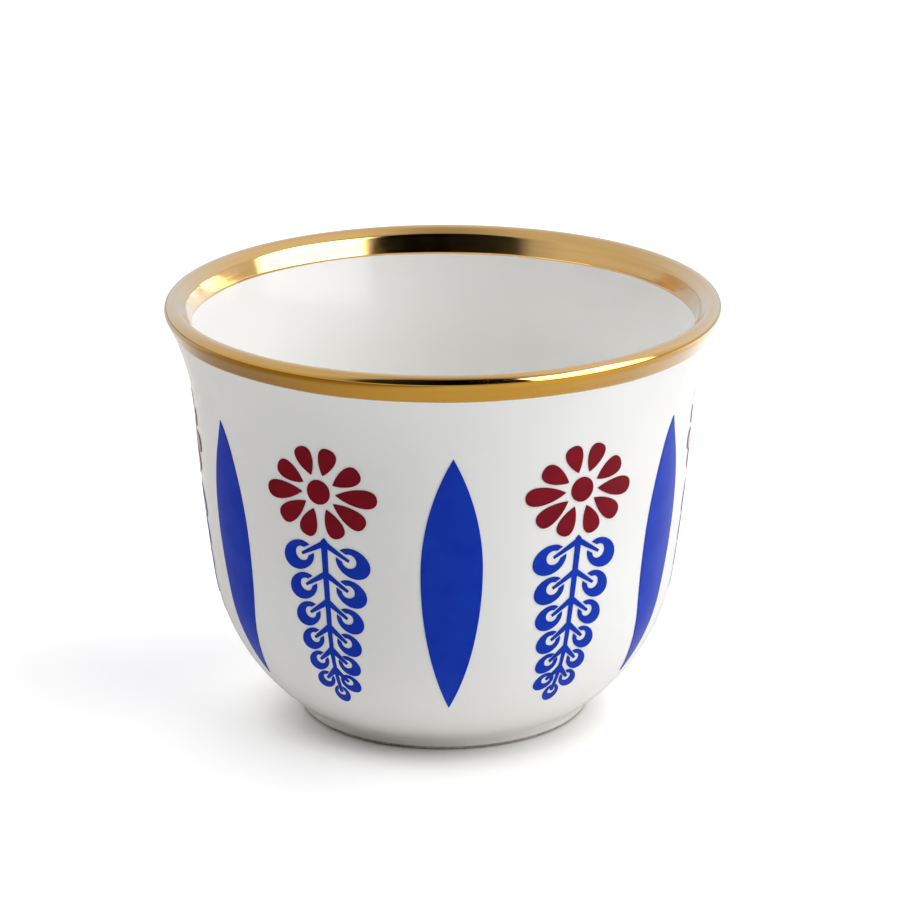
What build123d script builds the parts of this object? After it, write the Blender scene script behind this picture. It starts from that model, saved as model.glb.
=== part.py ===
from build123d import *
import math
import os

os.makedirs("parts", exist_ok=True)

# Overall sizes of the glazed cup, in millimetres
rim_diameter = 65.0
cup_height = 50.0
neck_diameter = 58.3
neck_height = 36.4
belly_diameter = 54.3
belly_height = 17.1
wall_bulge = 0.19
wall_thickness = 2.0

# Slope inside the crest of the lip, the reach of the rounds above and below it, and the wall's tilt
lip_slope_width = 1.54
lip_slope_drop = 1.16
lip_crest_reach = 0.3
lip_wall_reach = 0.4
lip_inner_tilt = 16.0

# Floor and foot ring
floor_thickness = 3.4
floor_flat_diameter = 18.0
foot_diameter = 34.2
foot_height = 1.6
foot_spread = 0.6
foot_ring_width = 3.2
foot_recess = 1.8
foot_edge_round = 0.4

# Coats on the fired clay
glaze_thickness = 0.25
bare_foot_height = 0.4
gold_thickness = 0.05
gold_depth = 3.0
transfer_thickness = 0.05
transfer_clearance = 0.03

# Painted pattern: leaves all round, with a flower and its sprig halfway between each two
motif_count = 6
bare_wall_turn = 71.5

# Tall pointed leaf
leaf_gap_to_gold = 7.3
leaf_gap_to_foot = 6.3
leaf_width = 7.0
leaf_shoulder = 13.8

# Ten-petalled flower: direction from straight up and reach of each petal on one side, from the top one down
flower_drop = 5.2
flower_eye_diameter = 2.95
petal_start = 2.15
petal_width = 2.3
petal_swell_place = 0.35
petal_base_swell = 0.5
petal_tip_swell = 0.78
petal_rows = ((20, 5.65), (62, 5.95), (94, 7.1), (125, 6.55), (158, 5.8))

# Hanging sprig: a stem with pairs of curled leaves that shrink downwards, and one leaf at its end
sprig_drop = 5.5
sprig_gap_to_foot = 5.95
sprig_pairs = 6
sprig_shrink = 0.905
first_curl_drop = 2.45
end_curl_drop = 3.2
end_curl_gap = 1.75
first_curl_reach = 3.05
last_curl_reach = 1.4
first_stalk_angle = 30.0
last_stalk_angle = 47.0
stem_top_width = 0.8
stem_end_width = 0.4
stalk_root_width = 0.75
stalk_tip_width = 0.34

# Shape of one curled leaf, as shares of its length
curl_fill = 1.13
curl_breadth = 0.81
curl_eye_share = 0.205
curl_eye_offset = 0.116
curl_slot_share = 0.125

# Radii and points of the glazed outer wall, as (distance from the axis, height)
rim_radius = rim_diameter / 2
foot_radius = foot_diameter / 2
lip_round = wall_thickness / 2
neck = Vector(neck_diameter / 2, neck_height)
belly = Vector(belly_diameter / 2, belly_height)
foot_top = Vector(foot_radius + foot_spread, foot_height)
lip_centre = Vector(rim_radius - lip_round, cup_height - lip_round)
lip_slope_end = Vector(lip_centre.X - lip_slope_width, cup_height - lip_slope_drop)
inner_lip_way = Vector(0, 1).rotate(Axis.Z, -lip_inner_tilt)
floor_height = foot_recess + floor_thickness

# Guide arcs of the wall, upwards: a bowl, a nearly straight side and a flare up to the round of the lip
side_arc = SagittaArc(belly, neck, -wall_bulge)
side_end = side_arc % 1
outward = Vector(side_end.Y, -side_end.X)
to_lip = lip_centre - neck
flare_radius = (to_lip.dot(to_lip) - lip_round**2) / (2 * (to_lip.dot(outward) + lip_round))
flare_centre = neck + outward * flare_radius
lip_outside = lip_centre + (flare_centre - lip_centre) * (lip_round / (flare_radius + lip_round))
flare_arc = TangentArc(neck, lip_outside, tangent=side_end)
bowl_chord = (belly - foot_top).normalized()
bowl_end = side_arc % 0
bowl_arc = TangentArc(foot_top, belly, tangent=bowl_chord * (2 * bowl_end.dot(bowl_chord)) - bowl_end)
wall_arcs = (bowl_arc, side_arc, flare_arc)


def round_stretch(start, start_way, end, end_way):
    """Smooth curve between two points that leaves and arrives in the given directions, like an arc."""
    chord = (end - start).length
    half_turn = math.radians(start_way.get_angle(end_way)) / 2
    handle = chord * 2 / 3 / (1 + math.cos(half_turn))
    return Bezier(start, start + start_way * handle, end - end_way * handle, end)


def parallel(arc, distance):
    """Curve that runs beside a guide arc, at a distance outside it."""
    start_way = arc % 0
    end_way = arc % 1
    start = arc @ 0 + Vector(start_way.Y, -start_way.X) * distance
    end = arc @ 1 + Vector(end_way.Y, -end_way.X) * distance
    return round_stretch(start, start_way, end, end_way)


def cup_section(inset):
    """Half section of the cup, at a distance inside the glazed surface, or outside it if negative."""
    inside = inset - wall_thickness
    crest = Vector(lip_centre.X, cup_height - inset)
    inward = Vector(-inner_lip_way.Y, inner_lip_way.X)
    inner_lip = lip_slope_end - inward * inset
    crest_corner = crest - Vector(lip_crest_reach, 0)
    wall_corner = inner_lip + inner_lip_way * lip_wall_reach
    slope_way = (wall_corner - crest_corner).normalized()
    slope_top = crest_corner + slope_way * lip_crest_reach
    slope_low = wall_corner - slope_way * lip_wall_reach
    floor_edge = Vector(floor_flat_diameter / 2, floor_height - inset)
    ring_inside = foot_radius - foot_ring_width + inset
    foot_low = Vector(foot_radius - inset, inset)
    with BuildSketch() as section:
        with BuildLine():
            bowl = parallel(bowl_arc, -inset)
            parallel(side_arc, -inset)
            flare = parallel(flare_arc, -inset)
            inner_side = parallel(side_arc, inside)
            round_stretch(inner_side @ 1, inner_side % 1, inner_lip, inner_lip_way)
            TangentArc(flare @ 1, crest, tangent=flare % 1)
            TangentArc(crest, slope_top, tangent=(-1, 0))
            Line(slope_top, slope_low)
            TangentArc(slope_low, inner_lip, tangent=slope_way)
            round_stretch(inner_side @ 0, (inner_side % 0) * -1, floor_edge, Vector(-1, 0))
            Polyline(
                floor_edge,
                (0, floor_edge.Y),
                (0, foot_recess + inset),
                (ring_inside, foot_recess + inset),
                (ring_inside, inset),
                foot_low,
            )
            TangentArc(bowl @ 0, foot_low, tangent=(bowl % 0) * -1)
        make_face()
    return section


# Upright plane of every half section, turned from -Y to where the pattern leaves the wall bare
section_plane = Plane.XZ.rotated((0, 0, bare_wall_turn - 90))

# The glazed cup has rounded edges under its foot ring
with BuildSketch() as glazed_section:
    add(cup_section(0).sketch)
    fillet(glazed_section.vertices().group_by(Axis.Y)[0], radius=foot_edge_round)

# The fired clay lies one glaze thickness inside, and is bare at the bottom of the foot ring
with BuildSketch() as clay_section:
    add(glazed_section.sketch)
    Rectangle(rim_diameter, 2 * bare_foot_height, mode=Mode.INTERSECT)
    add(cup_section(glaze_thickness).sketch)

# Fired clay body with its foot ring
with BuildPart() as cup_body:
    with BuildSketch(section_plane):
        add(clay_section.sketch)
    revolve(axis=Axis.Z)
cup_body.part.label = "cup_body"
export_step(cup_body.part, "parts/cup_body.step")

# White glaze over all of the body but the bare foot
with BuildPart() as glaze_coat:
    with BuildSketch(section_plane):
        add(glazed_section.sketch)
        add(clay_section.sketch, mode=Mode.SUBTRACT)
    revolve(axis=Axis.Z)
glaze_coat.part.label = "glaze_coat"
export_step(glaze_coat.part, "parts/glaze_coat.step")

# Gold band over the lip, equally deep inside and out
with BuildSketch() as gold_section:
    add(cup_section(-gold_thickness).sketch)
    add(glazed_section.sketch, mode=Mode.SUBTRACT)
    with Locations((0, cup_height)):
        Rectangle(2 * rim_diameter, 2 * gold_depth, mode=Mode.INTERSECT)
with BuildPart() as gold_rim:
    with BuildSketch(section_plane):
        add(gold_section.sketch)
    revolve(axis=Axis.Z)
gold_rim.part.label = "gold_rim"
export_step(gold_rim.part, "parts/gold_rim.step")

# Film just outside the glaze that every painted motif is cut from, with spline faces that cut cleanly
with BuildSketch() as film_section:
    with BuildLine():
        near = [parallel(arc, transfer_clearance) for arc in wall_arcs]
        far = [parallel(arc, transfer_clearance + transfer_thickness) for arc in wall_arcs]
        Line(near[0] @ 0, far[0] @ 0)
        Line(near[-1] @ 1, far[-1] @ 1)
    make_face()
with BuildPart() as film:
    with BuildSketch(section_plane):
        add(film_section.sketch)
    revolve(axis=Axis.Z)
spline_film = film.part.to_splines(nurbs=True)


def polar(direction, distance):
    """Point at a distance from the origin, in a direction measured clockwise from straight up."""
    angle = math.radians(direction)
    return Vector(math.sin(angle), math.cos(angle)) * distance


def cut_motif(outline, height):
    """One motif at the front of the cup: its outline pushed outwards and kept only in the film."""
    with BuildPart() as motif:
        with BuildSketch(Plane.XZ.shift_origin((0, 0, height))):
            add(outline.sketch)
        extrude(amount=rim_diameter)
        add(spline_film, mode=Mode.INTERSECT)
    return motif


def lay_motif(name, motif, turn):
    """Copy of a motif, turned about the axis of the cup."""
    laid = motif.part.rotate(Axis.Z, turn)
    laid.label = name
    export_step(laid, f"parts/{name}.step")


# Outline of the tall leaf, with its origin at its widest place
leaf_top = cup_height - gold_depth - leaf_gap_to_gold
leaf_bottom = foot_height + leaf_gap_to_foot
leaf_middle = leaf_top - leaf_shoulder
with BuildSketch() as leaf_outline:
    with BuildLine():
        leaf_side = (leaf_width / 2, 0)
        TangentArc(leaf_side, (0, leaf_shoulder), tangent=(0, 1))
        TangentArc(leaf_side, (0, leaf_bottom - leaf_middle), tangent=(0, -1))
        mirror(about=Plane.YZ)
    make_face()

# Outline of the flower, with its origin at its centre
flower_middle = leaf_top - flower_drop
with BuildSketch() as flower_outline:
    Circle(flower_eye_diameter / 2)
    for petal_direction, petal_reach in petal_rows:
        for direction in (petal_direction, -petal_direction):
            base = polar(direction, petal_start)
            tip = polar(direction, petal_reach)
            swell = base + (tip - base) * petal_swell_place
            with BuildLine():
                for side in (-1, 1):
                    beside = polar(direction + 90, side * petal_width)
                    Bezier(base, swell + beside * petal_base_swell, tip + beside * petal_tip_swell, tip)
            make_face()

# Curled leaves down the sprig, each as (reach, drop, stalk angle, length), with the origin at its top
sprig_top = flower_middle - sprig_drop
sprig_height = sprig_top - foot_height - sprig_gap_to_foot
shrinks = [sprig_shrink**row for row in range(sprig_pairs)]
curl_pitch = (sprig_height - first_curl_drop - end_curl_drop) / sum(shrinks[:-1])
curl_rows = []
for row in range(sprig_pairs):
    share = row / (sprig_pairs - 1)
    reach = first_curl_reach + (last_curl_reach - first_curl_reach) * share
    drop = first_curl_drop + curl_pitch * sum(shrinks[:row])
    angle = first_stalk_angle + (last_stalk_angle - first_stalk_angle) * share
    length = curl_fill * curl_pitch * shrinks[row]
    curl_rows.append((reach, drop, angle, length))
    curl_rows.append((-reach, drop, 180 - angle, length))
end_drop = curl_rows[-1][1] + end_curl_gap
curl_rows.append((0, end_drop, 90, curl_fill * curl_pitch * sprig_shrink**sprig_pairs))

# Outline of the sprig, with its origin at the top of its stem
with BuildSketch() as sprig_outline:
    for reach, drop, angle, length in curl_rows:
        stalk_way = Vector(-1, 0).rotate(Axis.Z, -angle)
        centre = Vector(reach, -drop) - stalk_way * curl_eye_offset * length
        with Locations(Location((centre.X, centre.Y), -angle)):
            Ellipse(length / 2, curl_breadth * length / 2)
    for reach, drop, angle, length in curl_rows:
        with Locations(Location((reach, -drop), 180 - angle)):
            Circle(curl_eye_share * length, mode=Mode.SUBTRACT)
            Rectangle(
                length / 2,
                2 * curl_slot_share * length,
                align=(Align.MIN, Align.CENTER),
                mode=Mode.SUBTRACT,
            )
    with BuildLine():
        stem_end = (stem_end_width / 2, -end_drop)
        Line((0, 0), (stem_top_width / 2, -stem_top_width / 2))
        Line((stem_top_width / 2, -stem_top_width / 2), stem_end)
        Line(stem_end, (0, -end_drop))
        mirror(about=Plane.YZ)
    make_face()
    for reach, drop, angle, length in curl_rows[:-1]:
        root = Vector(0, abs(reach) * math.tan(math.radians(min(angle, 180 - angle))) - drop)
        tip = Vector(reach, -drop)
        aside = (tip - root).normalized().rotate(Axis.Z, 90)
        with BuildLine():
            Polyline(
                root + aside * stalk_root_width / 2,
                tip + aside * stalk_tip_width / 2,
                tip - aside * stalk_tip_width / 2,
                root - aside * stalk_root_width / 2,
                close=True,
            )
        make_face()

# The painted motifs, one node each
leaf = cut_motif(leaf_outline, leaf_middle)
flower = cut_motif(flower_outline, flower_middle)
sprig = cut_motif(sprig_outline, sprig_top)
step = 360 / motif_count
for index in range(motif_count):
    turn = step * index
    lay_motif(f"blue_leaf_{index + 1}", leaf, turn)
    lay_motif(f"red_flower_{index + 1}", flower, turn + step / 2)
    lay_motif(f"blue_sprig_{index + 1}", sprig, turn + step / 2)
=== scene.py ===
import math

import bpy
import numpy as np
from mathutils import Euler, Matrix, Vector
from mathutils.geometry import delaunay_2d_cdt


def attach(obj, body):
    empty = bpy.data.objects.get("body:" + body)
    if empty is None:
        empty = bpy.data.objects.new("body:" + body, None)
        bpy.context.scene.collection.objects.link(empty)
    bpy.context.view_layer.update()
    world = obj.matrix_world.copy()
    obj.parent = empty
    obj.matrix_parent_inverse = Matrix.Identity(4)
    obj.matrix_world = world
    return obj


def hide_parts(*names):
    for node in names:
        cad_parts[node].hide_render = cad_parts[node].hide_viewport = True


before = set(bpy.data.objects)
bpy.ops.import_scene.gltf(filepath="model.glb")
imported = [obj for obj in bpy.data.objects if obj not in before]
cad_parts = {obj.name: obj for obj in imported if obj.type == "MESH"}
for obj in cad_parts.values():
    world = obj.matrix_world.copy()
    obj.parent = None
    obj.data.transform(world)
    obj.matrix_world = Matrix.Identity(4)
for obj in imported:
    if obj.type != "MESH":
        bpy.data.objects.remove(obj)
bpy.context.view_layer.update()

# Sizes of the glazed cup, in millimetres, as in the solids
MM = 0.001
RIM_DIAMETER = 65.0
CUP_HEIGHT = 50.0
NECK = Vector((58.3 / 2, 36.4))
BELLY = Vector((54.3 / 2, 17.1))
WALL_BULGE = 0.19
WALL_THICKNESS = 2.0
LIP_ROUND = WALL_THICKNESS / 2
FLOOR_THICKNESS = 3.4
FLOOR_FLAT_DIAMETER = 18.0
FOOT_DIAMETER = 34.2
FOOT_HEIGHT = 1.6
FOOT_SPREAD = 0.6
FOOT_RING_WIDTH = 3.2
FOOT_RECESS = 1.8
FOOT_EDGE_ROUND = 0.4
RING_INSIDE = FOOT_DIAMETER / 2 - FOOT_RING_WIDTH

# Slope inside the crest of the lip, between the same corners as in the solids but with a sharper lower edge
LIP_SLOPE_WIDTH = 1.47
LIP_SLOPE_DROP = 0.92
LIP_CREST_REACH = 0.3
LIP_WALL_REACH = 0.15
LIP_INNER_TILT = 16.0
LIP_CENTRE = Vector((RIM_DIAMETER / 2 - LIP_ROUND, CUP_HEIGHT - LIP_ROUND))
LIP_SLOPE_END = Vector((LIP_CENTRE.x - LIP_SLOPE_WIDTH, CUP_HEIGHT - LIP_SLOPE_DROP))

# Coats on the fired clay, in millimetres; the gold thins out at its edges over so many thicknesses
GLAZE_THICKNESS = 0.25
BARE_FOOT_HEIGHT = 0.4
RECESS_CEILING = FOOT_RECESS + GLAZE_THICKNESS
GOLD_THICKNESS = 0.05
GOLD_DEPTH = 3.0
GOLD_EDGE_TAPER = 3
TRANSFER_LIFT = 0.08
COAT_BED = 0.03

# Hand-brushed edges of the gold: stray, waves as (count round the cup, size), and a phase for each edge
GOLD_WOBBLE = 0.1
GOLD_WAVES = ((2, 1.0), (5, 0.6), (11, 0.35))
GOLD_OUTER_PHASE = 0.7
GOLD_INNER_PHASE = 2.1

# Tones of the coats, with the heights in metres between which one passes into another
GLAZE_TONES = ((0.83, 0.825, 0.81, 1), (0.88, 0.88, 0.87, 1))
# Warm painted shade low on the wall, for the warm light bounced onto the cup's shaded side, fading out
# between two heights
GLAZE_PAINTED_SHADE_TONE = (0.89, 0.872, 0.83, 1)
GLAZE_PAINTED_SHADE_HEIGHTS = (4.0 * MM, 16.0 * MM)
GLAZE_FOOT_TONE = (0.89, 0.865, 0.81, 1)
GLAZE_FOOT_HEIGHTS = (0.6 * MM, 2.2 * MM)
GLAZE_FOOT_RAGGED = 0.8 * MM
# Bare clay, its own brown darkened as a painted contact shade where the foot meets the table
CLAY_AND_CONTACT_SHADE_TONES = ((0.33, 0.295, 0.245, 1), (0.5, 0.465, 0.41, 1))
# Gold, deeper outside and paler over the crest and inside the lip
GOLD_OUTER_TONES = ((0.72, 0.372, 0.052, 1), (0.83, 0.45, 0.076, 1))
GOLD_CREST_TONES = ((0.78, 0.48, 0.17, 1), (0.86, 0.55, 0.22, 1))
GOLD_CREST_HEIGHTS = ((CUP_HEIGHT - 0.8) * MM, (CUP_HEIGHT - 0.4) * MM)
GOLD_SLANT_RANGE = (0.25, 1.15)
GOLD_SLANT_TONE = (0.97, 0.93, 0.86, 1)
BLUE_TONES = ((0.004, 0.045, 0.48, 1), (0.001, 0.03, 0.42, 1))
RED_TONES = ((0.24, 0.004, 0.016, 1), (0.18, 0.002, 0.01, 1))

# Painted pattern, in millimetres, with the turn and lean that each motif was laid at by hand, in degrees
MOTIF_COUNT = 6
LEAF_TOP = CUP_HEIGHT - GOLD_DEPTH - 7.3
LEAF_BOTTOM = FOOT_HEIGHT + 6.3
LEAF_WIDTH = 7.0
LEAF_SHOULDER = 13.8
LEAF_TURNS = (0.0, 0.1, 0.4, -0.5, 0.3, -1.1)
LEAF_LEANS = (0.7, 2.6, -0.6, 0.5, -0.8, -0.5)
FLOWER_MIDDLE = LEAF_TOP - 5.2
FLOWER_EYE_DIAMETER = 2.95
PETAL_START = 2.15
PETAL_WIDTH = 2.3
PETAL_SWELL_PLACE = 0.35
PETAL_BASE_SWELL = 0.5
PETAL_TIP_SWELL = 0.78
# Petals on one side of the flower: degrees from straight up, and reach
PETAL_ROWS = ((20, 5.65), (62, 5.95), (94, 7.1), (125, 6.55), (158, 5.8))
FLOWER_TURNS = (0.7, 0.3, 0.5, -0.2, -2.0, -0.8)
FLOWER_LEANS = (3.0, -1.0, 1.5, -1.8, 0.8, -2.4)
SPRIG_TOP = FLOWER_MIDDLE - 5.5
SPRIG_BOTTOM = FOOT_HEIGHT + 5.95
SPRIG_PAIRS = 6
SPRIG_SHRINK = 0.905
FIRST_CURL_DROP = 2.45
END_CURL_DROP = 3.2
END_CURL_GAP = 1.75
FIRST_CURL_REACH = 3.05
LAST_CURL_REACH = 1.4
FIRST_STALK_ANGLE = 30.0
LAST_STALK_ANGLE = 47.0
STEM_TOP_WIDTH = 0.8
STEM_END_WIDTH = 0.4
STALK_ROOT_WIDTH = 0.75
STALK_TIP_WIDTH = 0.34
SPRIG_TURNS = (0.45, 0.8, -0.5, 0.2, -1.6, -0.05)
SPRIG_LEANS = (2.5, -0.8, 0.6, -0.4, 1.0, 0.5)
# Curled leaf of a sprig: its length as a share of its row's pitch, then shares of that length
CURL_FILL = 1.13
CURL_BREADTH = 0.81
CURL_EYE_SHARE = 0.205
CURL_EYE_OFFSET = 0.116
CURL_SLOT_SHARE = 0.125

# Fineness of the meshes
RUN_STEPS = 24
LATHE_STEPS = 288
GOLD_STEPS = 3 * RUN_STEPS
CURVE_STEPS = 14
LEAF_STEPS = 40
GRID_PITCH = 0.6
SHARP_ANGLE = 40.0
AXIS_DISTANCE = 1e-6
MERGE_DISTANCE = 1e-5
# What delaunay_2d_cdt calls the triangles that lie inside the outlines
INSIDE_OUTLINES = 1

# Photographer's place, in millimetres and degrees: slightly left of the front leaf
CAMERA_TURN = -1.8
CAMERA_DISTANCE = 497.96
CAMERA_HEIGHT = 194.16
CAMERA_PITCH = 18.126
CAMERA_ROLL = -0.11
CAMERA_LENS = 177.76
CAMERA_SENSOR = 36.0
CAMERA_SHIFT = 0.0071
CAMERA_CLIP_START = 10.0

# Softboxes: turn to the right of the front and rise in degrees, distance, width and height in metres, watts
SOFTBOXES = {
    "key": (75, 40, 0.7, 0.9, 0.7, 5.25),
    "back": (180, 28, 0.7, 0.6, 0.5, 3.5),
    "left": (-105, 38, 0.7, 0.6, 0.5, 2.2),
    "top": (0, 78, 0.7, 0.6, 0.6, 1.3),
}

# Table, in metres: glowing white to the camera, with a painted shadow round the foot where the glow fades,
# and its glow lighting the cup from its right only
TABLE_HALF_WIDTH = 2.5
TABLE_LEVEL = 0.9
TABLE_ROUGHNESS = 0.9
TABLE_SPECULAR = 0.1
TABLE_LIFT = 0.19
TABLE_SHADE_REACH = (16.8 * MM, 25 * MM)
TABLE_LIGHT_REACH = (-0.06, 0.05)

# Painted reflection: tones of the table in the gloss, left and right, near and far, and where one passes
# into the other
TABLE_GLOSS_NEAR = ((0.27, 0.225, 0.15, 1), (0.62, 0.62, 0.62, 1))
TABLE_GLOSS_FAR = ((0.45, 0.42, 0.36, 1), (0.95, 0.95, 0.95, 1))
TABLE_GLOSS_REACH = (-0.09, 0.01)
TABLE_GLOSS_DEPTH = (0.02, 0.1)

# What the gloss mirrors of the room, by turn and rise in degrees: walls, table's far edge, ceiling, window
ROOM_LEVELS = (
    (-180, 0.68), (-150, 0.66), (-120, 0.64), (-60, 0.68), (-44, 0.5), (-36, 0.03), (0, 0.0),
    (36, 0.01), (44, 0.35), (60, 0.5), (120, 0.85), (150, 0.74), (180, 0.66),
)
HORIZON_LEVEL = 0.65
HORIZON_RISE = (6, 12)
CEILING_LEVEL = 0.36
CEILING_RISE = (68, 90)
WINDOW_LEVEL = 5.0
WINDOW_TURNS = ((33, 37), (94, 89))
WINDOW_HEAD = (52, 46)
WINDOW_FOOT = (4, 8)
WINDOW_SILL = (16, 19)
WINDOW_SILL_SLANT = 0.27


def turned(way, angle):
    """A direction in the half section, turned anticlockwise."""
    return Vector((
        way.x * math.cos(angle) - way.y * math.sin(angle),
        way.x * math.sin(angle) + way.y * math.cos(angle),
    ))


def right_of(way):
    """Direction to the right of a way; for a run up the wall that is outwards."""
    return Vector((way.y, -way.x))


def bezier_run(start, first, second, end, steps=RUN_STEPS):
    """Points of a curve from its ends and its two handles."""
    points = []
    for step in range(steps + 1):
        t = step / steps
        near = start * (1 - t) ** 3 + first * (3 * t * (1 - t) ** 2)
        points.append(near + second * (3 * t**2 * (1 - t)) + end * t**3)
    return points


def smooth_run(start, start_way, end, end_way, steps=RUN_STEPS):
    """Points of a curve that leaves and arrives in the given directions, like an arc."""
    half_turn = start_way.angle(end_way) / 2
    handle = (end - start).length * 2 / 3 / (1 + math.cos(half_turn))
    return bezier_run(start, start + start_way * handle, end - end_way * handle, end, steps)


def arc_run(start, start_way, end, steps=RUN_STEPS):
    """Points of an arc that leaves in the given direction."""
    chord = (end - start).normalized()
    return smooth_run(start, start_way, end, chord * (2 * start_way.dot(chord)) - start_way, steps)


def wall_guide():
    """Ends of the bowl, the side and the flare of the wall, each with its direction, upwards."""
    chord = NECK - BELLY
    half_turn = 2 * math.atan(2 * WALL_BULGE / chord.length)
    belly_way = turned(chord.normalized(), -half_turn)
    neck_way = turned(chord.normalized(), half_turn)
    foot_top = Vector((FOOT_DIAMETER / 2 + FOOT_SPREAD, FOOT_HEIGHT))
    bowl_chord = (BELLY - foot_top).normalized()
    foot_way = bowl_chord * (2 * belly_way.dot(bowl_chord)) - belly_way
    to_lip = LIP_CENTRE - NECK
    outward = right_of(neck_way)
    flare_radius = (to_lip.dot(to_lip) - LIP_ROUND**2) / (2 * (to_lip.dot(outward) + LIP_ROUND))
    lip_outward = (NECK + outward * flare_radius - LIP_CENTRE) / (flare_radius + LIP_ROUND)
    lip_way = Vector((-lip_outward.y, lip_outward.x))
    lip = (LIP_CENTRE + lip_outward * LIP_ROUND, lip_way)
    return [(foot_top, foot_way), (BELLY, belly_way), (NECK, neck_way), lip], lip_outward


INNER_LIP_WAY = turned(Vector((0, 1)), -math.radians(LIP_INNER_TILT))
GUIDE, LIP_OUTWARD = wall_guide()
FOOT_END, BELLY_END, NECK_END, LIP_END = GUIDE


def wall_run(distance, ends=GUIDE):
    """Points up the wall, at a distance outside the glazed surface."""
    points = []
    for (start, start_way), (end, end_way) in zip(ends, ends[1:]):
        low = start + right_of(start_way) * distance
        high = end + right_of(end_way) * distance
        points += smooth_run(low, start_way, high, end_way)[bool(points):]
    return points


def turn_run(centre, radius, start, end):
    """Points of an arc about a centre, between two angles from straight outwards."""
    turns = [start + (end - start) * step / RUN_STEPS for step in range(RUN_STEPS + 1)]
    return [centre + Vector((math.cos(turn), math.sin(turn))) * radius for turn in turns]


def lip_run(distance):
    """Points over the lip, from its outer round to the slope inside its crest."""
    low = math.atan2(LIP_OUTWARD.y, LIP_OUTWARD.x)
    outer = turn_run(LIP_CENTRE, LIP_ROUND + distance, low, math.pi / 2)
    crest = outer[-1]
    inwards = Vector((-1, 0))
    crest_corner = crest + inwards * LIP_CREST_REACH
    slope_end = LIP_SLOPE_END - right_of(INNER_LIP_WAY) * distance
    wall_corner = slope_end + INNER_LIP_WAY * LIP_WALL_REACH
    slope_way = (wall_corner - crest_corner).normalized()
    slope_top = crest_corner + slope_way * LIP_CREST_REACH
    slope_low = wall_corner - slope_way * LIP_WALL_REACH
    return outer[:-1] + arc_run(crest, inwards, slope_top) + arc_run(slope_low, slope_way, slope_end)


def inner_run(distance):
    """Points down the inside of the wall, from the lip to the belly."""
    neck_way = NECK_END[1]
    side = wall_run(-WALL_THICKNESS - distance, [BELLY_END, NECK_END])
    lip_end = lip_run(distance)[-1]
    return (side[:-1] + smooth_run(side[-1], neck_way, lip_end, INNER_LIP_WAY))[::-1]


def cup_run(distance):
    """Points from the bottom of the foot up the wall, over the lip and down the inside to the axis."""
    foot_place, foot_way = FOOT_END
    foot_top = foot_place + right_of(foot_way) * distance
    foot_low = Vector((FOOT_DIAMETER / 2 + distance, -distance))
    foot = arc_run(foot_top, -foot_way, foot_low)[::-1]
    inner_wall = inner_run(distance)
    belly_way = BELLY_END[1]
    floor_edge = Vector((FLOOR_FLAT_DIAMETER / 2, FOOT_RECESS + FLOOR_THICKNESS + distance))
    bowl = smooth_run(inner_wall[-1], -belly_way, floor_edge, Vector((-1, 0)), 2 * RUN_STEPS)
    floor = [floor_edge * (1 - t) + Vector((0, floor_edge.y)) * t for t in (1 / 3, 2 / 3, 1)]
    return foot[:-1] + wall_run(distance) + lip_run(distance)[1:-1] + inner_wall + bowl[1:] + floor


def round_corner(before, corner, after):
    """Points of a rounded corner between two points beside it."""
    points = []
    for step in range(CURVE_STEPS + 1):
        t = step / CURVE_STEPS
        points.append(before * (1 - t) ** 2 + corner * (2 * t * (1 - t)) + after * t**2)
    return points


def above(run, height):
    """The end of a run that starts below a height, from that height on."""
    first = next(i for i, point in enumerate(run) if point.y > height)
    low, high = run[first - 1], run[first]
    cut = low + (high - low) * ((height - low.y) / (high.y - low.y))
    return [cut] + run[first:]


def add_mesh(name, points, faces, materials, body="root"):
    """A smooth mesh object made from points in millimetres, riding on a body."""
    mesh = bpy.data.meshes.new(name)
    mesh.from_pydata([Vector(point) * MM for point in points], [], faces)
    mesh.validate()
    mesh.shade_smooth()
    for material in materials:
        mesh.materials.append(material)
    piece = bpy.data.objects.new(name, mesh)
    bpy.context.scene.collection.objects.link(piece)
    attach(piece, body)
    return piece


def ring_faces(low, high):
    """Faces between two rings of corners, of which one may be a single corner on the axis."""
    faces = []
    for here in range(LATHE_STEPS):
        there = (here + 1) % LATHE_STEPS
        corners = [low[here % len(low)], low[there % len(low)]]
        corners += [high[there % len(high)], high[here % len(high)]]
        faces.append(list(dict.fromkeys(corners)))
    return faces


def lathe(name, chains, material):
    """Surface of revolution of chains that each run from the axis back to the axis."""
    points, faces = [], []
    for chain in chains:
        rings = []
        for place in chain:
            steps = 1 if place.x < AXIS_DISTANCE else LATHE_STEPS
            rings.append(range(len(points), len(points) + steps))
            for step in range(steps):
                turn = 2 * math.pi * step / LATHE_STEPS
                points.append((place.x * math.cos(turn), place.x * math.sin(turn), place.y))
        for low, high in zip(rings, rings[1:]):
            faces += ring_faces(low, high)
    piece = add_mesh(name, points, faces, [material])
    piece.data.set_sharp_from_angle(angle=math.radians(SHARP_ANGLE))
    return piece


def new_material(name):
    """A material with its node tree, its shader and the object's own coordinates."""
    material = bpy.data.materials.new(name)
    material.use_nodes = True
    nodes = material.node_tree.nodes
    links = material.node_tree.links
    shader = nodes["Principled BSDF"]
    place = nodes.new("ShaderNodeTexCoord").outputs["Object"]
    return material, nodes, links, shader, place


def add_noise(nodes, links, place, scale, detail=3.0, stretch=(1, 1, 1)):
    """Noise over the object, with a scale in features per metre."""
    mapping = nodes.new("ShaderNodeMapping")
    mapping.inputs["Scale"].default_value = stretch
    links.new(place, mapping.inputs["Vector"])
    noise = nodes.new("ShaderNodeTexNoise")
    noise.inputs["Scale"].default_value = scale
    noise.inputs["Detail"].default_value = detail
    links.new(mapping.outputs["Vector"], noise.inputs["Vector"])
    return noise.outputs["Fac"]


def grey(level):
    """A neutral colour."""
    return (level, level, level, 1.0)


def plug(links, value, socket):
    """Feed a socket with another node's output or with a constant."""
    if isinstance(value, bpy.types.NodeSocket):
        links.new(value, socket)
    else:
        socket.default_value = value


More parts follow.
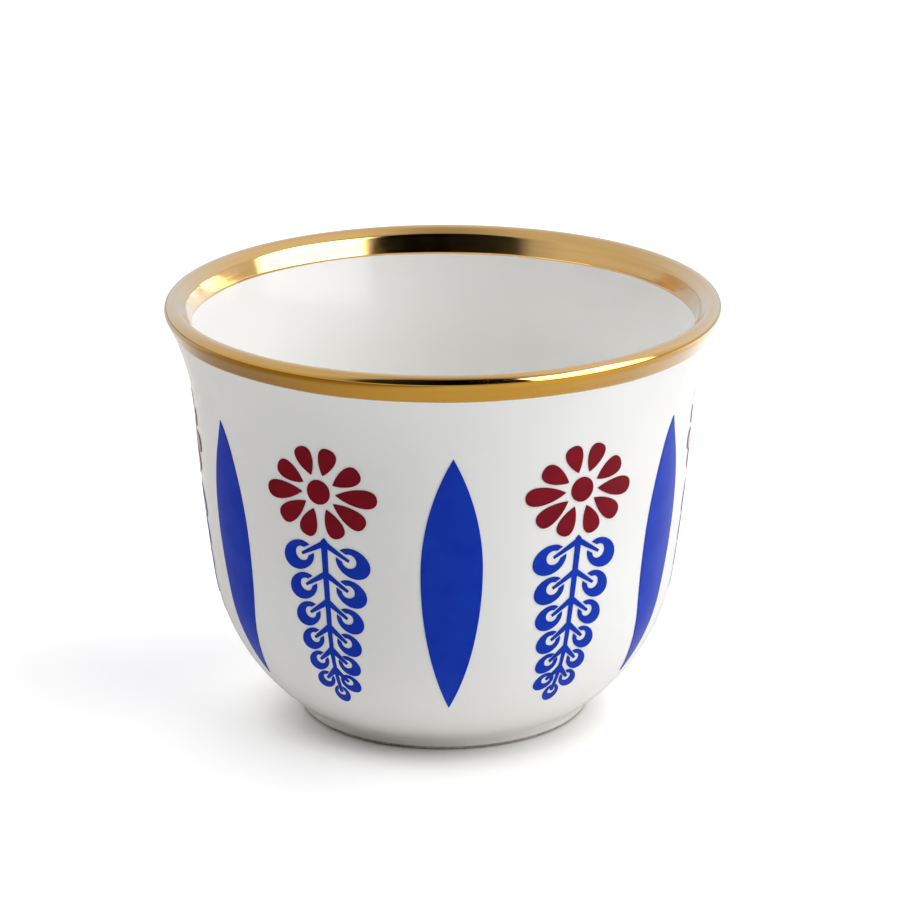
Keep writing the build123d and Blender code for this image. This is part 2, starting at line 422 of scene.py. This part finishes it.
def add_math(nodes, links, operation, *values):
    """A calculation on numbers, each an output or a constant."""
    node = nodes.new("ShaderNodeMath")
    node.operation = operation
    for value, socket in zip(values, node.inputs):
        plug(links, value, socket)
    return node.outputs["Value"]


def add_split(nodes, links, vector):
    """The three coordinates of a vector, by name."""
    node = nodes.new("ShaderNodeSeparateXYZ")
    links.new(vector, node.inputs["Vector"])
    return node.outputs


def add_radius(nodes, links, split):
    """Distance from the axis of the cup."""
    square = add_math(nodes, links, "MULTIPLY", split["X"], split["X"])
    square = add_math(nodes, links, "MULTIPLY_ADD", split["Y"], split["Y"], square)
    return add_math(nodes, links, "SQRT", square)


def add_range(nodes, links, value, low, high):
    """Smooth rise from 0 to 1 between two levels of a value, or fall if the first is the higher."""
    node = nodes.new("ShaderNodeMapRange")
    node.interpolation_type = "SMOOTHSTEP"
    node.inputs["From Min"].default_value = low
    node.inputs["From Max"].default_value = high
    links.new(value, node.inputs["Value"])
    return node.outputs["Result"]


def add_mix(nodes, links, share, first, second):
    """Blend of two colours, each an output or a constant."""
    node = nodes.new("ShaderNodeMix")
    node.data_type = "RGBA"
    links.new(share, node.inputs["Factor"])
    plug(links, first, node.inputs["A"])
    plug(links, second, node.inputs["B"])
    return node.outputs["Result"]


def add_stops(nodes, links, factor, stops):
    """A ramp through stops, each a place from 0 to 1 and a colour."""
    node = nodes.new("ShaderNodeValToRGB")
    elements = node.color_ramp.elements
    while len(elements) < len(stops):
        elements.new(1.0)
    for element, (place, colour) in zip(elements, stops):
        element.position = place
        element.color = colour
    links.new(factor, node.inputs["Fac"])
    return node.outputs["Color"]


def add_ramp(nodes, links, factor, low, high, start=0.0, end=1.0):
    """A blend between two colours, over part of a factor's range."""
    return add_stops(nodes, links, factor, ((start, low), (end, high)))


def add_gloss(nodes, links, factor, shader, low, high, start=0.0, end=1.0):
    """An uneven gloss: a roughness that goes from one level to another, over part of a factor's range."""
    roughness = add_ramp(nodes, links, factor, grey(low), grey(high), start, end)
    links.new(roughness, shader.inputs["Roughness"])


def add_bump(nodes, links, height, shader, strength, distance):
    """Fine relief of a surface, with its depth in millimetres."""
    bump = nodes.new("ShaderNodeBump")
    bump.inputs["Strength"].default_value = strength
    bump.inputs["Distance"].default_value = distance * MM
    links.new(height, bump.inputs["Height"])
    links.new(bump.outputs["Normal"], shader.inputs["Normal"])


def white_glaze():
    """Glossy white glaze, a little cloudy, with a warmer tone at the foot and a warm painted shade low on
    the wall.
    """
    material, nodes, links, shader, place = new_material("white_glaze")
    cloud = add_noise(nodes, links, place, scale=45.0, detail=4.0)
    tone = add_ramp(nodes, links, cloud, *GLAZE_TONES, start=0.3, end=0.7)
    split = add_split(nodes, links, place)
    # Warm painted shade low on the wall, gone above the upper height
    high = add_range(nodes, links, split["Z"], *GLAZE_PAINTED_SHADE_HEIGHTS)
    tone = add_mix(nodes, links, high, GLAZE_PAINTED_SHADE_TONE, tone)
    patches = add_noise(nodes, links, place, scale=260.0)
    ragged = add_math(nodes, links, "MULTIPLY_ADD", patches, GLAZE_FOOT_RAGGED, split["Z"])
    covered = add_range(nodes, links, ragged, *GLAZE_FOOT_HEIGHTS)
    coat = add_mix(nodes, links, covered, GLAZE_FOOT_TONE, tone)
    links.new(coat, shader.inputs["Base Color"])
    gloss = add_noise(nodes, links, place, scale=120.0, detail=5.0)
    add_gloss(nodes, links, gloss, shader, low=0.1, high=0.2)
    relief = add_noise(nodes, links, place, scale=90.0, detail=2.0)
    add_bump(nodes, links, relief, shader, strength=0.25, distance=0.25)
    shader.inputs["Specular IOR Level"].default_value = 0.25
    return material


def fired_clay():
    """Bare fired clay of the foot ring, matt and faintly speckled, its brown made darker as a painted
    contact shade.
    """
    material, nodes, links, shader, place = new_material("fired_clay")
    grain = add_noise(nodes, links, place, scale=2600.0, detail=6.0)
    # Speckled brown of the clay, made darker as a painted contact shade
    tone = add_ramp(nodes, links, grain, *CLAY_AND_CONTACT_SHADE_TONES, start=0.3, end=0.62)
    links.new(tone, shader.inputs["Base Color"])
    shader.inputs["Roughness"].default_value = 0.85
    add_bump(nodes, links, grain, shader, strength=0.5, distance=0.06)
    return material


def bright_gold():
    """Fired gold, brushed round the lip: deep outside, paler over the crest and when seen at a slant."""
    material, nodes, links, shader, place = new_material("bright_gold")
    streak = add_noise(nodes, links, place, scale=300.0, detail=4.0, stretch=(0.15, 0.15, 4.0))
    outer_tone = add_ramp(nodes, links, streak, *GOLD_OUTER_TONES, start=0.3, end=0.7)
    thin = add_ramp(nodes, links, streak, *GOLD_CREST_TONES, start=0.3, end=0.7)
    split = add_split(nodes, links, place)
    radius = add_radius(nodes, links, split)
    # Paler tone over the crest and inside the lip, deeper outside
    within = add_range(nodes, links, radius, LIP_CENTRE.x * MM, (LIP_CENTRE.x - LIP_ROUND) * MM)
    topmost = add_range(nodes, links, split["Z"], *GOLD_CREST_HEIGHTS)
    tone = add_mix(nodes, links, add_math(nodes, links, "MAXIMUM", within, topmost), outer_tone, thin)
    slant = nodes.new("ShaderNodeLayerWeight").outputs["Facing"]
    pale = add_range(nodes, links, slant, *GOLD_SLANT_RANGE)
    links.new(add_mix(nodes, links, pale, tone, GOLD_SLANT_TONE), shader.inputs["Base Color"])
    shader.inputs["Metallic"].default_value = 1.0
    wear = add_noise(nodes, links, place, scale=220.0, detail=6.0)
    add_gloss(nodes, links, wear, shader, low=0.05, high=0.16, start=0.35, end=0.75)
    add_bump(nodes, links, streak, shader, strength=0.12, distance=0.05)
    return material


def enamel(name, thin, full):
    """Glossy overglaze colour, a little uneven where the transfer is thinner."""
    material, nodes, links, shader, place = new_material(name)
    cloud = add_noise(nodes, links, place, scale=320.0, detail=6.0)
    tone = add_ramp(nodes, links, cloud, full, thin, start=0.35, end=0.8)
    links.new(tone, shader.inputs["Base Color"])
    gloss = add_noise(nodes, links, place, scale=500.0, detail=4.0)
    add_gloss(nodes, links, gloss, shader, low=0.08, high=0.2)
    shader.inputs["Specular IOR Level"].default_value = 0.12
    relief = add_noise(nodes, links, place, scale=1400.0, detail=3.0)
    add_bump(nodes, links, relief, shader, strength=0.12, distance=0.02)
    return material


def build_body(material):
    """Fired clay inside the glaze, bare at the bottom of the foot ring."""
    outside = above(cup_run(0), BARE_FOOT_HEIGHT)[0]
    core = above(cup_run(-GLAZE_THICKNESS), BARE_FOOT_HEIGHT)
    low_out = Vector((FOOT_DIAMETER / 2, 0))
    low_in = Vector((RING_INSIDE, 0))
    inset = Vector((FOOT_EDGE_ROUND, 0))
    up = Vector((0, FOOT_EDGE_ROUND))
    chain = [Vector((0, RECESS_CEILING)), Vector((RING_INSIDE + GLAZE_THICKNESS, RECESS_CEILING))]
    chain += [Vector((RING_INSIDE + GLAZE_THICKNESS, BARE_FOOT_HEIGHT))]
    chain += round_corner(low_in + up, low_in, low_in + inset)
    chain += round_corner(low_out - inset, low_out, outside)
    chain += core
    piece = lathe("clay_body", [chain], material)
    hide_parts("cup_body")


def build_glaze(material):
    """White coat over the cup and under its foot, up to the bare strip of the foot ring."""
    outer = above(cup_run(0), BARE_FOOT_HEIGHT)
    bed = above(cup_run(-GLAZE_THICKNESS), BARE_FOOT_HEIGHT)
    under = [Vector((0, FOOT_RECESS)), Vector((RING_INSIDE / 2, FOOT_RECESS))]
    under += round_corner(
        Vector((RING_INSIDE - FOOT_EDGE_ROUND, FOOT_RECESS)),
        Vector((RING_INSIDE, FOOT_RECESS)),
        Vector((RING_INSIDE, FOOT_RECESS - FOOT_EDGE_ROUND)),
    )
    under += [Vector((RING_INSIDE, BARE_FOOT_HEIGHT))]
    under += [Vector((RING_INSIDE + GLAZE_THICKNESS, BARE_FOOT_HEIGHT))]
    under += [Vector((RING_INSIDE + GLAZE_THICKNESS, RECESS_CEILING)), Vector((0, RECESS_CEILING))]
    piece = lathe("white_coat", [outer[::-1] + bed, under], material)
    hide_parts("glaze_coat")


def wobble(turn, phase):
    """Unsteady edge of a line brushed by hand on a turning cup, from -1 to 1."""
    total = 0.0
    for order, (count, size) in enumerate(GOLD_WAVES, 1):
        total += size * math.sin(count * turn + order * phase)
    return total / sum(size for _, size in GOLD_WAVES)


def gold_bed():
    """The glazed surface over the lip: its places, the distance along it and its outward normals."""
    run = wall_run(0, [NECK_END, LIP_END]) + lip_run(0)[1:-1] + inner_run(0)
    places = np.array([tuple(point) for point in run])
    along = np.concatenate([[0], np.cumsum(np.linalg.norm(np.diff(places, axis=0), axis=1))])
    tangents = np.gradient(places, along, axis=0)
    normals = np.stack([tangents[:, 1], -tangents[:, 0]], axis=1)
    return places, along, normals


def gold_section(turn, places, along, normals):
    """Points of the band at a turn: first its face, then its underside, both from the outer edge."""
    top = int(np.argmax(places[:, 1]))
    edge_height = CUP_HEIGHT - GOLD_DEPTH
    outer_edge = edge_height + GOLD_WOBBLE * wobble(turn, GOLD_OUTER_PHASE)
    inner_edge = edge_height + GOLD_WOBBLE * wobble(turn, GOLD_INNER_PHASE)
    start = np.interp(outer_edge, places[:top, 1], along[:top])
    end = np.interp(-inner_edge, -places[top:, 1], along[top:])
    run = np.linspace(start, end, GOLD_STEPS)
    share = np.minimum(run - start, end - run) / GOLD_THICKNESS
    rise = GOLD_THICKNESS * np.clip(share / GOLD_EDGE_TAPER, 0, 1)
    points = []
    for lift in (rise, np.full(GOLD_STEPS, -COAT_BED)):
        radius = np.interp(run, along, places[:, 0]) + lift * np.interp(run, along, normals[:, 0])
        height = np.interp(run, along, places[:, 1]) + lift * np.interp(run, along, normals[:, 1])
        points += [(r * math.cos(turn), r * math.sin(turn), z) for r, z in zip(radius, height)]
    return points


def build_gold(material):
    """Gold band over the lip, thin at both edges, which were brushed by hand."""
    bed = gold_bed()
    points, faces = [], []
    for step in range(LATHE_STEPS):
        points += gold_section(2 * math.pi * step / LATHE_STEPS, *bed)
    loop = list(range(GOLD_STEPS)) + list(range(2 * GOLD_STEPS - 1, GOLD_STEPS - 1, -1))
    for step in range(LATHE_STEPS):
        here = step * 2 * GOLD_STEPS
        there = (step + 1) % LATHE_STEPS * 2 * GOLD_STEPS
        for near, far in zip(loop, loop[1:] + loop[:1]):
            faces.append((here + near, there + near, there + far, here + far))
    piece = add_mesh("gold_band", points, faces, [material])
    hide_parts("gold_rim")


def wall_table():
    """Heights, radii and outward normals up the wall."""
    places = np.array([tuple(point) for point in wall_run(0)])
    tangents = np.gradient(places, axis=0)
    tangents /= np.linalg.norm(tangents, axis=1)[:, None]
    return places[:, 1], places[:, 0], tangents[:, 1], -tangents[:, 0]


WALL_HEIGHTS, WALL_RADII, WALL_NORMAL_R, WALL_NORMAL_Z = wall_table()


def on_wall(flat, height, turn, lean):
    """Places and outward normals on the wall for points of a flat outline, seen square on at a turn."""
    tilt = math.radians(lean)
    across = flat[:, 0] * math.cos(tilt) + flat[:, 1] * math.sin(tilt)
    up = height + flat[:, 1] * math.cos(tilt) - flat[:, 0] * math.sin(tilt)
    radius = np.interp(up, WALL_HEIGHTS, WALL_RADII)
    round_turn = math.radians(turn) + np.arcsin(across / radius)
    facing = np.stack([np.sin(round_turn), -np.cos(round_turn), np.zeros_like(up)], axis=1)
    rise = np.array([0.0, 0.0, 1.0])
    places = facing * radius[:, None] + rise * up[:, None]
    normals = facing * np.interp(up, WALL_HEIGHTS, WALL_NORMAL_R)[:, None]
    normals += rise * np.interp(up, WALL_HEIGHTS, WALL_NORMAL_Z)[:, None]
    return places, normals


def fill_outline(added, cut=(), over=()):
    """Triangles of flat outlines: those added, less those cut away, and with those laid over."""
    loops = list(added) + list(cut) + list(over)
    flat, rings = [], []
    for loop in loops:
        rings.append(list(range(len(flat), len(flat) + len(loop))))
        flat += loop
    low = np.min(flat, axis=0)
    high = np.max(flat, axis=0)
    for x in np.arange(low[0], high[0], GRID_PITCH):
        for y in np.arange(low[1], high[1], GRID_PITCH):
            flat.append((x, y))
    spots = [Vector(point) for point in flat]
    filled = delaunay_2d_cdt(spots, [], rings, INSIDE_OUTLINES, MERGE_DISTANCE)
    corners, _, triangles, _, _, origins = filled
    first_cut = len(added)
    first_over = first_cut + len(cut)
    kept = []
    for triangle, owners in zip(triangles, origins):
        painted = any(owner < first_cut for owner in owners)
        bare = any(first_cut <= owner < first_over for owner in owners)
        laid = any(owner >= first_over for owner in owners)
        if laid or (painted and not bare):
            kept.append(triangle)
    used = sorted({corner for triangle in kept for corner in triangle})
    place = {corner: index for index, corner in enumerate(used)}
    shown = [[place[corner] for corner in triangle] for triangle in kept]
    return np.array([tuple(corners[corner]) for corner in used]), shown


def build_motif(node, outline, height, turn, lean, material, slot):
    """One painted motif: a thin closed film on the wall, with the wall's own shading."""
    flat, triangles = outline
    places, normals = on_wall(flat, height, turn, lean)
    count = len(flat)
    points = np.concatenate([places + normals * TRANSFER_LIFT, places - normals * COAT_BED])
    faces = [list(triangle) for triangle in triangles]
    faces += [[corner + count for corner in reversed(triangle)] for triangle in triangles]
    directed = {(a, b) for tri in triangles for a, b in zip(tri, tri[1:] + tri[:1])}
    faces += [[b, a, a + count, b + count] for a, b in sorted(directed) if (b, a) not in directed]
    piece = add_mesh(f"painted_{node}", points.tolist(), faces, [material])
    piece.data.normals_split_custom_set_from_vertices(np.concatenate([normals, normals]).tolist())
    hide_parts(node)


def polar(direction, distance):
    """Point at a distance, in a direction measured clockwise from straight up."""
    angle = math.radians(direction)
    return Vector((math.sin(angle), math.cos(angle))) * distance


def ellipse(centre, half_length, half_breadth, angle):
    """Points round an ellipse whose length lies at an angle, measured clockwise."""
    points = []
    for step in range(4 * CURVE_STEPS):
        turn = 2 * math.pi * step / (4 * CURVE_STEPS)
        place = Vector((half_length * math.cos(turn), half_breadth * math.sin(turn)))
        points.append(tuple(centre + turned(place, -math.radians(angle))))
    return points


def leaf_outline():
    """Tall pointed leaf, with its origin at its widest place."""
    side = Vector((LEAF_WIDTH / 2, 0))
    top = Vector((0, LEAF_SHOULDER))
    bottom = Vector((0, LEAF_BOTTOM - LEAF_TOP + LEAF_SHOULDER))
    lower = arc_run(side, Vector((0, -1)), bottom, LEAF_STEPS)
    upper = arc_run(side, Vector((0, 1)), top, LEAF_STEPS)
    right = lower[::-1] + upper[1:]
    left = [(-point.x, point.y) for point in right[-2:0:-1]]
    return fill_outline([[tuple(point) for point in right] + left])


def petal(direction, reach):
    """Outline of one petal: pointed at the flower's eye and round outside."""
    base = polar(direction, PETAL_START)
    tip = polar(direction, reach)
    swell = base + (tip - base) * PETAL_SWELL_PLACE
    sides = []
    for side in (-1, 1):
        beside = polar(direction + 90, side * PETAL_WIDTH)
        first = swell + beside * PETAL_BASE_SWELL
        second = tip + beside * PETAL_TIP_SWELL
        run = bezier_run(base, first, second, tip, 2 * CURVE_STEPS)
        sides.append([tuple(point) for point in run])
    return sides[1][:-1] + sides[0][:0:-1]


def flower_outline():
    """Ten-petalled flower, with its origin at its centre."""
    eye = ellipse(Vector((0, 0)), FLOWER_EYE_DIAMETER / 2, FLOWER_EYE_DIAMETER / 2, 0)
    petals = [petal(side * turn, reach) for turn, reach in PETAL_ROWS for side in (1, -1)]
    return fill_outline([eye] + petals)


def curl_rows():
    """Curled leaves down the sprig, each as (reach, drop, stalk angle, length)."""
    shrinks = [SPRIG_SHRINK**row for row in range(SPRIG_PAIRS)]
    sprig_height = SPRIG_TOP - SPRIG_BOTTOM
    pitch = (sprig_height - FIRST_CURL_DROP - END_CURL_DROP) / sum(shrinks[:-1])
    rows = []
    for row in range(SPRIG_PAIRS):
        share = row / (SPRIG_PAIRS - 1)
        reach = FIRST_CURL_REACH + (LAST_CURL_REACH - FIRST_CURL_REACH) * share
        drop = FIRST_CURL_DROP + pitch * sum(shrinks[:row])
        angle = FIRST_STALK_ANGLE + (LAST_STALK_ANGLE - FIRST_STALK_ANGLE) * share
        length = CURL_FILL * pitch * shrinks[row]
        rows += [(reach, drop, angle, length), (-reach, drop, 180 - angle, length)]
    end_drop = rows[-1][1] + END_CURL_GAP
    return rows + [(0, end_drop, 90, CURL_FILL * pitch * SPRIG_SHRINK**SPRIG_PAIRS)]


def strip(start, end, start_width, end_width):
    """Tapered stroke from one point to another."""
    aside = turned((end - start).normalized(), math.pi / 2)
    near = aside * start_width / 2
    far = aside * end_width / 2
    return [tuple(point) for point in (start + near, start - near, end - far, end + far)]


def sprig_outline():
    """Hanging sprig, with its origin at the top of its stem."""
    rows = curl_rows()
    curls, holes, stalks = [], [], []
    for reach, drop, angle, length in rows:
        eye = Vector((reach, -drop))
        stalk_way = turned(Vector((-1, 0)), -math.radians(angle))
        half = length / 2
        curls.append(ellipse(eye - stalk_way * CURL_EYE_OFFSET * length, half, CURL_BREADTH * half, angle))
        holes.append(ellipse(eye, CURL_EYE_SHARE * length, CURL_EYE_SHARE * length, 0))
        slot_width = 2 * CURL_SLOT_SHARE * length
        holes.append(strip(eye, eye + stalk_way * half, slot_width, slot_width))
        if reach:
            root = Vector((0, abs(reach) * math.tan(math.radians(min(angle, 180 - angle))) - drop))
            stalks.append(strip(root, eye, STALK_ROOT_WIDTH, STALK_TIP_WIDTH))
    point = STEM_TOP_WIDTH / 2
    end_drop = rows[-1][1]
    stem = strip(Vector((0, -point)), Vector((0, -end_drop)), STEM_TOP_WIDTH, STEM_END_WIDTH)
    tip = [(0.0, 0.0), (-point, -point), (point, -point)]
    return fill_outline(curls, holes, stalks + [stem, tip])


def build_pattern(blue, red):
    """Leaves round the cup, with a flower and its sprig halfway between each two."""
    blue_coat = (blue, "blue_enamel")
    red_coat = (red, "red_enamel")
    at_leaf = 0.0
    halfway = 0.5
    kinds = (
        ("blue_leaf", leaf_outline(), LEAF_TOP - LEAF_SHOULDER, at_leaf, LEAF_TURNS, LEAF_LEANS, blue_coat),
        ("red_flower", flower_outline(), FLOWER_MIDDLE, halfway, FLOWER_TURNS, FLOWER_LEANS, red_coat),
        ("blue_sprig", sprig_outline(), SPRIG_TOP, halfway, SPRIG_TURNS, SPRIG_LEANS, blue_coat),
    )
    for kind, outline, height, start, turns, leans, coat in kinds:
        for index in range(MOTIF_COUNT):
            turn = 360 / MOTIF_COUNT * (index + start) + turns[index]
            build_motif(f"{kind}_{index + 1}", outline, height, turn, leans[index], *coat)


def pale_table():
    """Pale table that keeps the cup's shadow; it glows white to the camera and onto the cup from its right,
    its glow fades in a painted shadow round the foot, and where the gloss mirrors it it has painted
    reflection tones.
    """
    material, nodes, links, shader, place = new_material("pale_table")
    paths = nodes.new("ShaderNodeLightPath").outputs
    split = add_split(nodes, links, place)
    # Painted reflection: tones that only the gloss sees, darker to the left and in front
    rightwards = add_range(nodes, links, split["X"], *TABLE_GLOSS_REACH)
    backwards = add_range(nodes, links, split["Y"], *TABLE_GLOSS_DEPTH)
    near = add_mix(nodes, links, rightwards, *TABLE_GLOSS_NEAR)
    far = add_mix(nodes, links, rightwards, *TABLE_GLOSS_FAR)
    mirrored = add_mix(nodes, links, backwards, near, far)
    tone = add_mix(nodes, links, paths["Is Glossy Ray"], grey(TABLE_LEVEL), mirrored)
    links.new(tone, shader.inputs["Base Color"])
    shader.inputs["Roughness"].default_value = TABLE_ROUGHNESS
    shader.inputs["Specular IOR Level"].default_value = TABLE_SPECULAR
    # The table glows: white to the camera, and onto the cup from its right
    shader.inputs["Emission Color"].default_value = grey(TABLE_LIFT)
    unmirrored = add_math(nodes, links, "SUBTRACT", 1.0, paths["Is Glossy Ray"])
    # Painted shadow: the glow fades out round the cup's foot
    clear_of_painted_shadow = add_range(nodes, links, add_radius(nodes, links, split), *TABLE_SHADE_REACH)
    lit = add_range(nodes, links, split["X"], *TABLE_LIGHT_REACH)
    lit = add_math(nodes, links, "MAXIMUM", paths["Is Camera Ray"], lit)
    lit = add_math(nodes, links, "MULTIPLY", unmirrored, lit)
    lift = add_math(nodes, links, "MULTIPLY", lit, clear_of_painted_shadow)
    links.new(lift, shader.inputs["Emission Strength"])
    return material


def add_floor(material):
    """Plain table that the cup stands on."""
    half = TABLE_HALF_WIDTH
    corners = [(-half, -half, 0), (half, -half, 0), (half, half, 0), (-half, half, 0)]
    mesh = bpy.data.meshes.new("table")
    mesh.from_pydata(corners, [], [(0, 1, 2, 3)])
    mesh.materials.append(material)
    table = bpy.data.objects.new("table", mesh)
    bpy.context.scene.collection.objects.link(table)


def add_softbox(name, turn, rise, distance, width, height, watts):
    """Rectangular lamp aimed at the cup, which shines on it but is not mirrored in it."""
    lamp = bpy.data.lights.new(name, "AREA")
    lamp.shape = "RECTANGLE"
    lamp.size = width
    lamp.size_y = height
    lamp.energy = watts
    softbox = bpy.data.objects.new(name, lamp)
    around = math.radians(turn)
    up = math.radians(rise)
    aim = Vector((0, 0, CUP_HEIGHT * MM / 2))
    away = Vector((math.sin(around) * math.cos(up), -math.cos(around) * math.cos(up), math.sin(up)))
    softbox.location = aim + away * distance
    softbox.rotation_euler = away.to_track_quat("Z", "Y").to_euler()
    softbox.visible_glossy = False
    bpy.context.scene.collection.objects.link(softbox)


def add_room(nodes, links):
    """Brightness of the room by direction: its walls, the table's far edge, the ceiling and a window."""
    way = add_split(nodes, links, nodes.new("ShaderNodeTexCoord").outputs["Generated"])
    front = add_math(nodes, links, "MULTIPLY", way["Y"], -1.0)
    turn = add_math(nodes, links, "ARCTAN2", way["X"], front)
    # The share of a full turn runs from 0 at -180 degrees to 1 at 180
    share = add_math(nodes, links, "MULTIPLY_ADD", turn, 0.5 / math.pi, 0.5)
    stops = [((degrees + 180) / 360, grey(level)) for degrees, level in ROOM_LEVELS]
    walls = add_stops(nodes, links, share, stops)
    rise = add_math(nodes, links, "ARCSINE", way["Z"])
    above_table = add_range(nodes, links, rise, *map(math.radians, HORIZON_RISE))
    to_ceiling = add_range(nodes, links, rise, *map(math.radians, CEILING_RISE))
    room = add_mix(nodes, links, above_table, grey(HORIZON_LEVEL), walls)
    room = add_mix(nodes, links, to_ceiling, room, grey(CEILING_LEVEL))
    slanted = add_math(nodes, links, "MULTIPLY_ADD", turn, WINDOW_SILL_SLANT, rise)
    sides = [(turn, edge) for edge in WINDOW_TURNS]
    sides += [(rise, WINDOW_HEAD), (rise, WINDOW_FOOT), (slanted, WINDOW_SILL)]
    window = 1.0
    for value, edge in sides:
        within = add_range(nodes, links, value, *map(math.radians, edge))
        window = add_math(nodes, links, "MULTIPLY", within, window)
    return add_mix(nodes, links, window, room, grey(WINDOW_LEVEL))


def add_world():
    """White to the camera, and a studio that is dark in front to what is mirrored in the cup."""
    world = bpy.data.worlds.new("studio")
    bpy.context.scene.world = world
    world.use_nodes = True
    nodes = world.node_tree.nodes
    links = world.node_tree.links
    paths = nodes.new("ShaderNodeLightPath").outputs
    studio = nodes["Background"]
    links.new(add_room(nodes, links), studio.inputs["Color"])
    links.new(paths["Is Glossy Ray"], studio.inputs["Strength"])
    white = nodes.new("ShaderNodeBackground")
    white.inputs["Color"].default_value = grey(1)
    seen = nodes.new("ShaderNodeMixShader")
    links.new(paths["Is Camera Ray"], seen.inputs["Fac"])
    links.new(studio.outputs["Background"], seen.inputs[1])
    links.new(white.outputs["Background"], seen.inputs[2])
    links.new(seen.outputs["Shader"], nodes["World Output"].inputs["Surface"])


def add_camera():
    """Camera at the photographer's place."""
    lens = bpy.data.cameras.new("camera")
    lens.lens = CAMERA_LENS
    lens.sensor_width = CAMERA_SENSOR
    lens.shift_x = CAMERA_SHIFT
    lens.clip_start = CAMERA_CLIP_START * MM
    camera = bpy.data.objects.new("camera", lens)
    around = math.radians(CAMERA_TURN)
    flat = Vector((math.sin(around), -math.cos(around), 0)) * CAMERA_DISTANCE
    camera.location = (flat + Vector((0, 0, CAMERA_HEIGHT))) * MM
    tilt = Euler((math.radians(90 - CAMERA_PITCH), 0, around), "XYZ").to_matrix()
    roll = Euler((0, 0, math.radians(CAMERA_ROLL)), "XYZ").to_matrix()
    camera.rotation_euler = (tilt @ roll).to_euler()
    bpy.context.scene.collection.objects.link(camera)
    bpy.context.scene.camera = camera


build_body(fired_clay())
build_glaze(white_glaze())
build_gold(bright_gold())
build_pattern(enamel("blue_enamel", *BLUE_TONES), enamel("red_enamel", *RED_TONES))
add_floor(pale_table())
for softbox, setting in SOFTBOXES.items():
    add_softbox(softbox, *setting)
add_world()
add_camera()
bpy.context.scene.view_settings.view_transform = "Standard"
